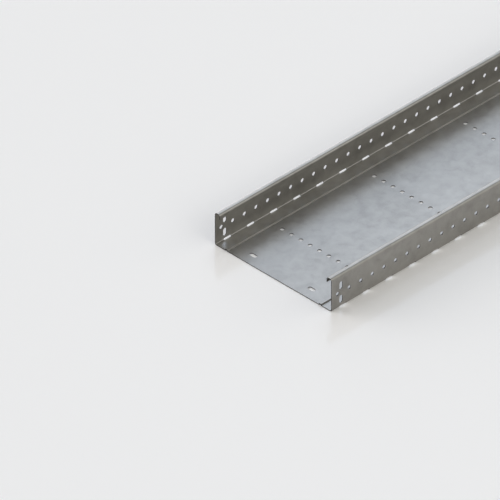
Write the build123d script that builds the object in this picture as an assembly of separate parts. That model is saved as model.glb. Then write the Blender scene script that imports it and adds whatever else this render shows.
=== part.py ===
from build123d import *
import os

# Perforated cable tray: one galvanised sheet, folded into an open channel whose rims turn
# inwards and down. Millimetres: +X runs along the tray, +Z is up, and the origin lies under
# the middle of its floor.

# Outside sizes
length = 3000
width = 250
height = 60
sheet = 1.25             # thickness of the sheet

# Folds between floor and walls, and the rims: a flange turned inwards, then a lip turned down
floor_fold = 2.25        # inside radius
rim_fold = 3.5           # inside radius
rim_flat = 1.5           # flat strip left on top of a rim, between its two folds
lip_depth = 9            # from the rim's top to the lip's edge

# Two low stiffening beads pressed up in the floor, one beside each wall
bead_from_side = 22      # from the wall's outer face to the bead's foot, on the underside
bead_top = 2.8           # width of its flat top, on the underside
bead_height = 2.2
bead_run = 1             # how far a flank leans over that height
bead_round = 0.4         # radius of its pressed corners, on both faces of the sheet

# Row of round holes along each wall
wall_hole = 7            # diameter
wall_hole_pitch = 25
wall_row_height = 27     # above the underside

# Pairs of upright slots at the ends of the walls, above and below the row of holes
wall_slot_width = 7
wall_slot_length = 14
wall_slot_spacing = 25
wall_slot_from_end = 20

# Slots across the folds between floor and walls
fold_slot_length = 16
fold_slot_reach = 3.25   # how far a slot reaches up the wall and into the floor
fold_slot_corner = 2.25  # radius of its rounded ends
fold_slot_pitch = 50

# Rows of round holes across the floor
floor_hole = 7           # diameter
floor_hole_spacing = 20
floor_row_pitch = 200
bead_margin = 5          # least land between a floor hole and a bead

# Pairs of slots across the ends of the floor
floor_slot_width = 7
floor_slot_length = 14
floor_slot_spacing = 125
floor_slot_from_end = 20

side = width / 2
bead_outer = side - bead_from_side
bead_inner = bead_outer - bead_top - 2 * bead_run
rim_width = rim_flat + 2 * (rim_fold + sheet)


def centred(count, pitch):
    """Places of a row of things, evenly spaced about the middle."""
    return [(i - (count - 1) / 2) * pitch for i in range(count)]


def folded_sheet(bends, first_edge, last_edge, thickness):
    """Section of a folded sheet. It lies to the left of a line that runs from one edge to the
    other through its bends, each given as y, z, the radius on that line and the one behind it."""
    points = [Vector(*first_edge), *[Vector(y, z) for y, z, _, _ in bends], Vector(*last_edge)]
    lefts = [(end - start).normalized().rotate(Axis.Z, 90) for start, end in zip(points, points[1:])]
    mitres = [(a + b) / (1 + a.dot(b)) for a, b in zip(lefts, lefts[1:])]
    shifts = [lefts[0], *mitres, lefts[-1]]
    behind = [point + shift * thickness for point, shift in zip(points, shifts)]
    outline = FilletPolyline(*points, radius=[front for _, _, front, _ in bends])
    outline += FilletPolyline(*behind, radius=[back for _, _, _, back in bends])
    outline += Line(points[0], behind[0])
    outline += Line(points[-1], behind[-1])
    return make_face(outline.edges())


def tray_section():
    """The tray's section, seen along +X: +Y is to the right and +Z is up."""
    pressed = (bead_round, bead_round)
    floor_radii = (floor_fold + sheet, floor_fold)
    rim_radii = (rim_fold + sheet, rim_fold)
    half = [
        (bead_inner, 0, *pressed),
        (bead_inner + bead_run, bead_height, *pressed),
        (bead_outer - bead_run, bead_height, *pressed),
        (bead_outer, 0, *pressed),
        (side, 0, *floor_radii),
        (side, height, *rim_radii),
        (side - rim_width, height, *rim_radii),
    ]
    other_half = [(-y, z, front, back) for y, z, front, back in reversed(half)]
    edge_y, edge_z = side - rim_width, height - lip_depth
    return folded_sheet(other_half + half, (-edge_y, edge_z), (edge_y, edge_z), sheet)


def wall_cutters():
    """The holes and end slots of both walls, each cut straight across the tray."""
    across = Rot(90, 0, 0)
    hole = across * Cylinder(wall_hole / 2, 2 * width)
    slot = SlotOverall(wall_slot_length, wall_slot_width, rotation=90)
    slot = across * extrude(slot, width, both=True)
    holes = [Pos(x, 0, wall_row_height) * hole
             for x in centred(round(length / wall_hole_pitch), wall_hole_pitch)]
    slots = [Pos(x, 0, wall_row_height + z) * slot
             for x in centred(2, length - 2 * wall_slot_from_end)
             for z in centred(2, wall_slot_spacing)]
    return holes + slots


def fold_cutters():
    """Slots across the folds, their edges square to the wall above and to the floor beside."""
    outline = RectangleRounded(fold_slot_length, 2 * fold_slot_reach, fold_slot_corner)
    through_floor = extrude(outline, 2 * fold_slot_reach, both=True)
    slot = through_floor & Rot(90, 0, 0) * through_floor
    places = centred(round(length / fold_slot_pitch), fold_slot_pitch)
    return [Pos(x, end, 0) * slot for end in (side, -side) for x in places]


def floor_cutters():
    """Rows of holes across the floor, and the slots at its ends."""
    hole = Cylinder(floor_hole / 2, 4 * sheet)
    slot = extrude(SlotOverall(floor_slot_length, floor_slot_width, rotation=90), 2 * sheet, both=True)
    beside_middle = int((bead_inner - bead_margin - floor_hole / 2) // floor_hole_spacing)
    holes = [Pos(x, y, 0) * hole
             for x in centred(round(length / floor_row_pitch), floor_row_pitch)
             for y in centred(2 * beside_middle + 1, floor_hole_spacing)]
    slots = [Pos(x, y, 0) * slot
             for x in centred(2, length - 2 * floor_slot_from_end)
             for y in centred(2, floor_slot_spacing)]
    return holes + slots


blank = extrude(Plane.YZ * tray_section(), length / 2, both=True)
cable_tray = blank - [*wall_cutters(), *fold_cutters(), *floor_cutters()]

os.makedirs("parts", exist_ok=True)
export_step(cable_tray, "parts/cable_tray.step")
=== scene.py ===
import bpy
import math
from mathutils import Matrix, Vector


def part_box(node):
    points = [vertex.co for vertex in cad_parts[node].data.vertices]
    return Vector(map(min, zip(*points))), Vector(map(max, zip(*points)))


# A length of perforated cable tray in bright galvanised sheet, lying on a pale studio floor.
# Metres: +X runs along the tray from its near end, +Y from the right wall to the left, +Z is up.

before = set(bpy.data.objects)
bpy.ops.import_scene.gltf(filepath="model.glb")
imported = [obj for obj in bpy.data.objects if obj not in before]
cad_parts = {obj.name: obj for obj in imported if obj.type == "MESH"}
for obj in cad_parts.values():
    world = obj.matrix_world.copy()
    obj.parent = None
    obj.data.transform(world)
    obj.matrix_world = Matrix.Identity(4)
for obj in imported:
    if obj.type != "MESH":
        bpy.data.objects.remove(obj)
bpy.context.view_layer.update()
trayLow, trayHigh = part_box("cable_tray")
print("frame loaded:", [round(v, 4) for v in trayHigh - trayLow])


class Val:  # a shader socket that takes part in sums and products
    def __init__(self, shader, socket):
        self.shader, self.socket = shader, socket

    def do(self, operation, *others):
        settings = {"operation": operation}
        return self.shader.add("ShaderNodeMath", settings, self, *others)

    def __add__(self, other):
        return self.do("ADD", other)

    def __sub__(self, other):
        return self.do("SUBTRACT", other)

    def __rsub__(self, other):
        return (self * -1).do("ADD", other)

    def __mul__(self, other):
        return self.do("MULTIPLY", other)

    __radd__ = __add__
    __rmul__ = __mul__

    def clip(self):
        return self.do("MAXIMUM", 0.0).do("MINIMUM", 1.0)


class Shader:  # a node tree, written as expressions
    def __init__(self, tree):
        self.tree = tree
        tree.nodes.clear()

    def add(self, kind, settings, *values, out=0, **named):
        node = self.tree.nodes.new(kind)
        for name, value in settings.items():
            setattr(node, name, value)
        sockets = [s for s in node.inputs if s.enabled]
        wanted = list(zip(sockets, values))
        wanted += [(self.pick(sockets, name), value) for name, value in named.items()]
        for socket, value in wanted:
            if isinstance(value, Val):
                self.tree.links.new(value.socket, socket)
            elif value is not None:
                socket.default_value = value
        outputs = [s for s in node.outputs if s.enabled]
        return Val(self, outputs[out]) if outputs else node

    def pick(self, sockets, name):
        plain = name.lower()
        return next(s for s in sockets if s.name.replace(" ", "").lower() == plain)

    def smooth(self, value, low, high):
        settings = {"interpolation_type": "SMOOTHSTEP"}
        return self.add("ShaderNodeMapRange", settings, value, low, high, 0.0, 1.0)

    def blend(self, factor, first, second):
        return self.add("ShaderNodeMix", {"data_type": "RGBA"}, factor, first, second)

    def xPart(self, vector):
        return self.add("ShaderNodeSeparateXYZ", {}, vector)

    def vector(self, operation, first, second):
        return self.add("ShaderNodeVectorMath", {"operation": operation}, first, second)

    def noise(self, vector, size, detail, roughness, distortion=0.0):
        return self.add("ShaderNodeTexNoise", {}, Vector=vector, Scale=1 / size, Detail=detail,
                        Roughness=roughness, Distortion=distortion)


def newMaterial(name):
    material = bpy.data.materials.new(name)
    material.use_nodes = True
    return material, Shader(material.node_tree)


sheetFinish = {
    "zinc": (0.358, 0.347, 0.327, 1),
    "paleZinc": (0.402, 0.390, 0.370, 1),
    "darkZinc": (0.300, 0.290, 0.273, 1),
    # cut faces: bare cut steel, darkened to near black as painted shade
    "cutSteel": (0.060, 0.058, 0.055, 1),
    "cloudSize": 0.022,        # the four kinds of marks in the zinc, and how strongly each shows
    "cloudContrast": 1.8,
    "driftSize": 0.1,
    "driftContrast": 1.0,
    "spangleSize": 0.009,
    "spangleContrast": 0.2,
    "grainSize": 0.0016,
    "grainContrast": 0.6,
    "roughness": 0.36,
    "cloudRoughness": 0.08,
    "grainRoughness": 0.06,
    "cutRoughness": 0.2,       # added at the cut ends
    "rippleSize": 0.0314286,
    "rippleHeight": 0.00012,
    "grainHeight": 0.02,       # the grain's share of that height
}


def galvanisedSheet(name, s):
    material, sh = newMaterial(name)
    place = sh.add("ShaderNodeTexCoord", {}, out=3)
    clouds = sh.noise(place, s["cloudSize"], 3.0, 0.55, 0.4)
    drift = sh.noise(place, s["driftSize"], 2.0, 0.5)
    grain = sh.noise(place, s["grainSize"], 2.0, 0.6)
    crystals = sh.add("ShaderNodeTexVoronoi", {"feature": "F1"}, Vector=place, out=1,
                      Scale=1 / s["spangleSize"], Randomness=1.0)
    tone = (clouds - 0.5) * s["cloudContrast"]
    tone = tone + (drift - 0.5) * s["driftContrast"]
    tone = tone + (sh.xPart(crystals) - 0.5) * s["spangleContrast"]
    tone = (tone + (grain - 0.5) * s["grainContrast"] + 0.5).clip()
    dark = sh.blend((tone * 2).clip(), s["darkZinc"], s["zinc"])
    zinc = sh.blend((tone * 2 - 1).clip(), dark, s["paleZinc"])
    normal = sh.add("ShaderNodeNewGeometry", {}, out=1)
    cut = sh.smooth(sh.xPart(normal).do("ABSOLUTE"), 0.05, 0.25)  # faces that look along the tray
    # the cut faces take the near-black colour, partly bare steel and partly painted shade along
    # the cut edges
    colour = sh.blend(cut, zinc, s["cutSteel"])
    swing = (clouds - 0.5) * s["cloudRoughness"] + (grain - 0.5) * s["grainRoughness"]
    rough = swing + s["roughness"] + cut * s["cutRoughness"]
    waves = sh.noise(place, s["rippleSize"], 1.0, 0.4) + grain * s["grainHeight"]
    bump = sh.add("ShaderNodeBump", {}, Strength=1.0, Distance=s["rippleHeight"], Height=waves)
    shader = sh.add("ShaderNodeBsdfPrincipled", {}, BaseColor=colour, Metallic=1.0,
                    Roughness=rough, Normal=bump)
    sh.add("ShaderNodeOutputMaterial", {}, Surface=shader)
    return material


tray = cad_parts["cable_tray"]
tray.material_slots[0].material = galvanisedSheet("galvanisedSheet", sheetFinish)
print("tray finished")

floorFinish = {
    "colour": (0.980, 0.970, 0.950, 1),
    "roughness": 0.12,
    "gloss": 0.25,
    "radius": 150.0,
    "corners": 64,
    "belowTray": 0.0002,
}


def studioFloor(s):
    material, sh = newMaterial("studioFloor")
    shader = sh.add("ShaderNodeBsdfPrincipled", {}, BaseColor=s["colour"],
                    Roughness=s["roughness"], SpecularIORLevel=s["gloss"])
    sh.add("ShaderNodeOutputMaterial", {}, Surface=shader)
    angles = [math.tau * i / s["corners"] for i in range(s["corners"])]
    corners = [(math.cos(a) * s["radius"], math.sin(a) * s["radius"], 0) for a in angles]
    mesh = bpy.data.meshes.new("floor")
    mesh.from_pydata(corners, [], [range(s["corners"])])
    mesh.materials.append(material)
    floor = bpy.data.objects.new("floor", mesh)
    bpy.context.collection.objects.link(floor)
    floor.location.z = trayLow.z - s["belowTray"]


studioFloor(floorFinish)
print("floor laid")

studioLight = {
    "roomLight": (0.17, 0.17, 0.17),   # the same from all sides
    "softBoxes": [                     # bearing from +X towards +Y, height, sharpness, colour
        (54, 10, 30.0, (2.95, 2.98, 3.02)),
        (43, 38, 40.0, (0.70, 0.90, 1.22)),
        (31, 48, 40.0, (2.20, 2.27, 2.35)),
        (118, 16, 14.0, (4.70, 4.60, 4.65)),
        (180, 60, 6.0, (0.40, 0.41, 0.44)),
        (-22, 10, 16.0, (1.55, 1.45, 1.20)),
        (-45, 35, 30.0, (1.15, 1.20, 1.20)),
        (-95, 32, 16.0, (2.35, 2.30, 2.20)),
    ],
}


def studioWorld(s):
    world = bpy.data.worlds.new("studio")
    world.use_nodes = True
    bpy.context.scene.world = world
    sh = Shader(world.node_tree)
    direction = sh.add("ShaderNodeTexCoord", {}, out=0)
    light = sh.add("ShaderNodeCombineXYZ", {}, *s["roomLight"])
    for bearing, height, sharpness, colour in s["softBoxes"]:
        b, h = math.radians(bearing), math.radians(height)
        towards = (math.cos(b) * math.cos(h), math.sin(b) * math.cos(h), math.sin(h))
        nearness = sh.vector("DOT_PRODUCT", direction, towards)
        glow = ((nearness - 1) * sharpness).do("EXPONENT")
        box = sh.vector("MULTIPLY", sh.add("ShaderNodeCombineXYZ", {}, *colour), glow)
        light = sh.vector("ADD", light, box)
    shader = sh.add("ShaderNodeBackground", {}, Color=light)
    sh.add("ShaderNodeOutputWorld", {}, Surface=shader)


studioWorld(studioLight)
print("studio lit")

cameraPlace = {
    "fromEnd": 0.0275,         # the point in the middle of the picture, on the floor's plane
    "fromRightWall": 0.2020,
    "azimuth": -45.0,
    "elevation": 35.264,
    "pictureWidth": 0.7605,    # how much of that point's plane the picture spans
    "lens": 1000.0,            # a very long lens, because the lines stay parallel
    "sensor": 36.0,
}


def makeCamera(s):
    data = bpy.data.cameras.new("camera")
    data.lens, data.sensor_width = s["lens"], s["sensor"]
    camera = bpy.data.objects.new("camera", data)
    bpy.context.collection.objects.link(camera)
    bpy.context.scene.camera = camera
    aim = Vector((trayLow.x + s["fromEnd"], trayLow.y + s["fromRightWall"], trayLow.z))
    a, e = math.radians(s["azimuth"]), math.radians(s["elevation"])
    back = Vector((math.sin(a) * math.cos(e), -math.cos(a) * math.cos(e), math.sin(e)))
    distance = s["pictureWidth"] * s["lens"] / s["sensor"]
    camera.location = aim + back * distance
    camera.rotation_mode = "QUATERNION"
    camera.rotation_quaternion = (-back).to_track_quat("-Z", "Y")
    data.clip_start, data.clip_end = distance * 0.01, distance * 20


makeCamera(cameraPlace)
bpy.context.scene.view_settings.view_transform = "Standard"
print("camera set")
